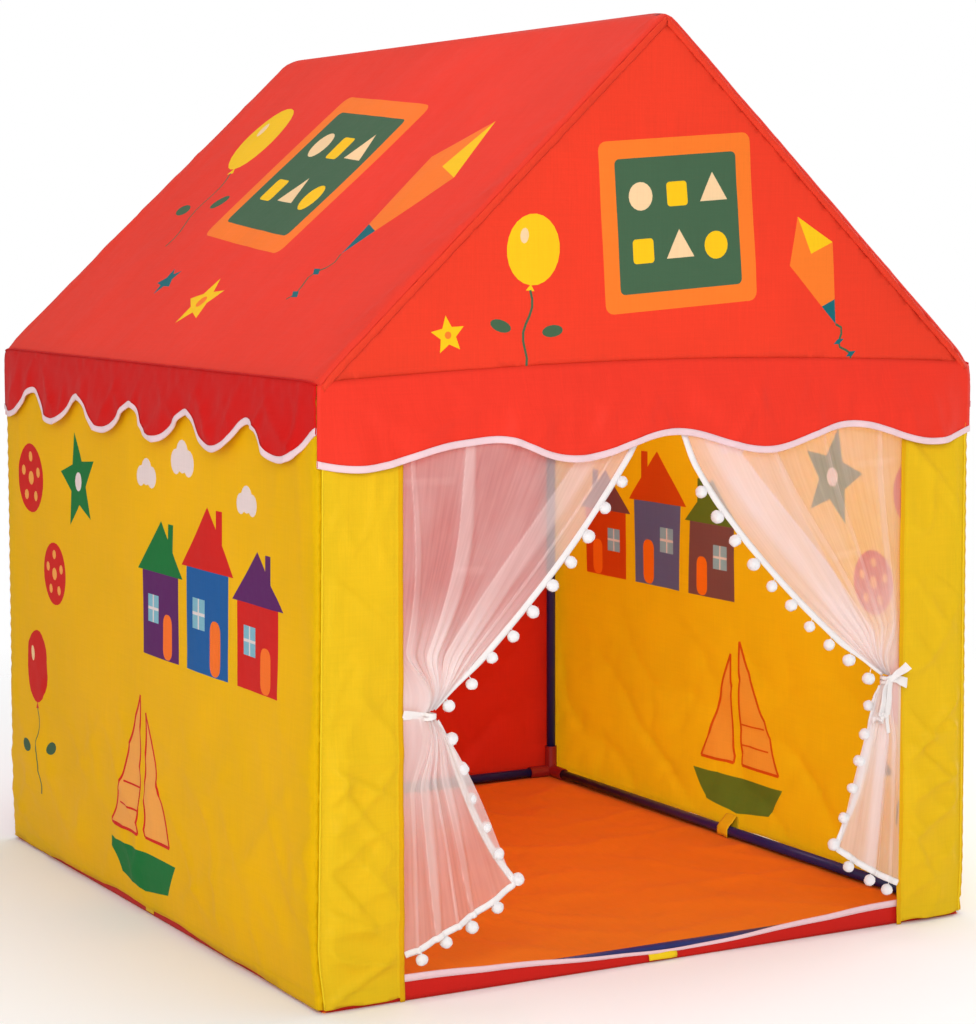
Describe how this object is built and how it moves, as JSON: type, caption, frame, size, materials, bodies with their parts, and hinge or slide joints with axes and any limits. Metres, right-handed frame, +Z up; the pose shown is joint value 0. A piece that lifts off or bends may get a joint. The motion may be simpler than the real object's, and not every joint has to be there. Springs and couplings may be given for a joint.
{
  "type": "kids play tent",
  "caption": "House-shaped play tent on a tube frame, with a gabled roof, scalloped valances, floor mat and two tied-back sheer curtains at an open doorway.",
  "frame": {"origin": "on the ground, under the middle of the tent", "axes": "+Z up, the doorway faces -Y, +X to the right as seen from the front"},
  "size_m": [1.076, 1.216, 1.3014],
  "materials": {
    "tube": "smooth navy tube",
    "connector": "moulded red plastic",
    "loop": "yellow woven polyester",
    "mat": "orange woven polyester, creased",
    "mat_band": "red woven polyester",
    "binding": "white woven tape",
    "valance": "red woven polyester",
    "roof": "red woven polyester, printed",
    "gable": "red woven polyester, printed",
    "wall": "yellow woven polyester, printed",
    "jamb": "yellow woven polyester",
    "sheer": "sheer white organza",
    "trim": "soft white tape, ribbon and pompoms"
  },
  "bodies": {
    "frame": {"base_tube_front": "tube", "base_tube_back": "tube", "base_tube_left": "tube", "base_tube_right": "tube", "eave_tube_front": "tube", "eave_tube_back": "tube", "eave_tube_left": "tube", "eave_tube_right": "tube", "upright_front_left": "tube", "upright_front_right": "tube", "upright_back_left": "tube", "upright_back_right": "tube", "rafter_front_left": "tube", "rafter_front_right": "tube", "rafter_back_left": "tube", "rafter_back_right": "tube", "ridge_tube": "tube", "base_connector_front_left": "connector", "base_connector_front_right": "connector", "base_connector_back_left": "connector", "base_connector_back_right": "connector", "eave_connector_front_left": "connector", "eave_connector_front_right": "connector", "eave_connector_back_left": "connector", "eave_connector_back_right": "connector", "ridge_connector_front": "connector", "ridge_connector_back": "connector", "floor_mat": "mat", "mat_band": "mat_band", "mat_binding": "binding", "mat_loop_front": "loop", "mat_loop_back": "loop", "mat_loop_left": "loop", "mat_loop_right": "loop"},
    "cover": {"roof_left": "roof", "roof_right": "roof", "gable_front": "gable", "wall_left": "wall", "wall_right": "wall", "wall_back": "gable", "jamb_left": "jamb", "jamb_right": "jamb", "valance_front": "valance", "valance_back": "valance", "valance_left": "valance", "valance_right": "valance", "valance_binding_front": "binding", "valance_binding_back": "binding", "valance_binding_left": "binding", "valance_binding_right": "binding", "curtain_left": "sheer", "curtain_right": "sheer", "pompom_trim_upper_left": "trim", "pompom_trim_upper_right": "trim"},
    "tail_left": {"curtain_tail_left": "sheer", "pompom_trim_tail_left": "trim", "ribbon_left": "trim"},
    "tail_right": {"curtain_tail_right": "sheer", "pompom_trim_tail_right": "trim", "ribbon_right": "trim"}
  },
  "joints": [
    {"name": "cover_lift", "type": "slide", "parent": "frame", "child": "cover", "axis": [0, 0, 1], "range_m": [0, 1.32]},
    {"name": "tail_left_swing", "type": "hinge", "parent": "cover", "child": "tail_left", "pos_m": [-0.367, -0.5974, 0.38], "axis": [1, 0, 0], "range_deg": [-25, 25]},
    {"name": "tail_right_swing", "type": "hinge", "parent": "cover", "child": "tail_right", "pos_m": [0.379, -0.5974, 0.366], "axis": [1, 0, 0], "range_deg": [-25, 25]}
  ]
}
